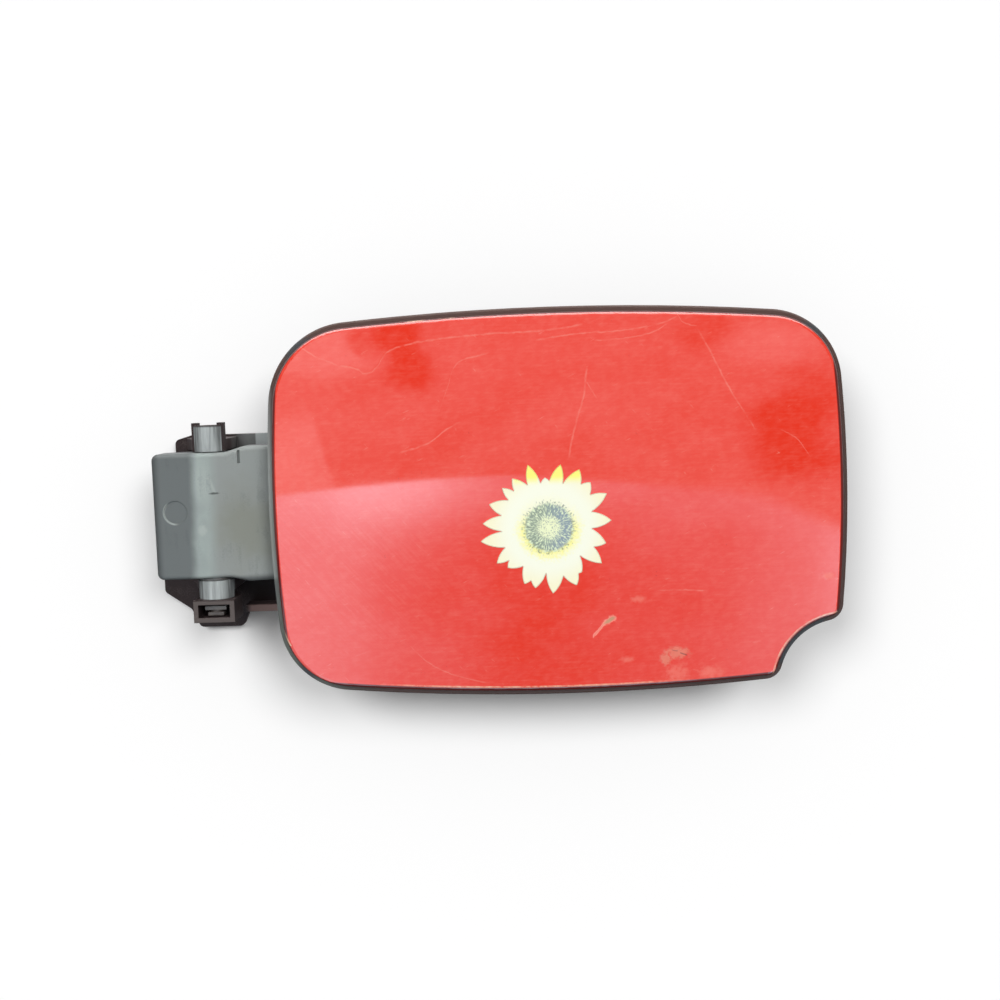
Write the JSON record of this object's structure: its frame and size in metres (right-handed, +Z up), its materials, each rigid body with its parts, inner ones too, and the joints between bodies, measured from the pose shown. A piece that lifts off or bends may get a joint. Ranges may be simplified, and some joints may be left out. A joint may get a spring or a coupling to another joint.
{
  "type": "fuel filler flap",
  "caption": "Car fuel filler flap: bulged painted panel with a finger notch on a moulded door and hinge arm, with hinge bracket and a floating tank stopper on its back.",
  "frame": {"origin": "middle of the two mounting holes, on the mounting face of the hinge bracket", "axes": "+X along the car towards the flap's free edge, +Y into the car, +Z up along the hinge axis; the painted face looks towards -Y"},
  "size_m": [0.2421, 0.0411, 0.132],
  "materials": {
    "red_paint": "metallic gloss with fine scratches",
    "door_plastic": "fine grain, faded",
    "bracket_plastic": "moulded, dull",
    "vinyl": "printed film",
    "pin_steel": "dark phosphate",
    "spring_steel": "bright wire",
    "washer_plastic": "dark nylon",
    "stopper_plastic": "moulded",
    "seal_rubber": "matt"
  },
  "bodies": {
    "bracket": {"hinge_bracket": "bracket_plastic", "hinge_pin": "pin_steel", "friction_washer": "washer_plastic"},
    "flap": {"outer_skin": "red_paint", "inner_door": "door_plastic", "flower_sticker": "vinyl", "retaining_ring": "stopper_plastic", "lock_striker": "stopper_plastic", "upper_buffer": "seal_rubber", "lower_buffer": "seal_rubber", "stopper_spring": "spring_steel"},
    "stopper": {"stopper_body": "stopper_plastic", "stopper_seal": "seal_rubber"}
  },
  "joints": [
    {"name": "flap_hinge", "type": "hinge", "parent": "bracket", "child": "flap", "pos_m": [-0.0253, -0.025, 0.0072], "axis": [0, 0, -1], "range_deg": [0, 100]},
    {"name": "stopper_float", "type": "slide", "parent": "flap", "child": "stopper", "axis": [0, -1, 0], "range_m": [0, 0.0025], "stiffness_N_per_m": 2000, "deforming": ["stopper_spring"]}
  ]
}
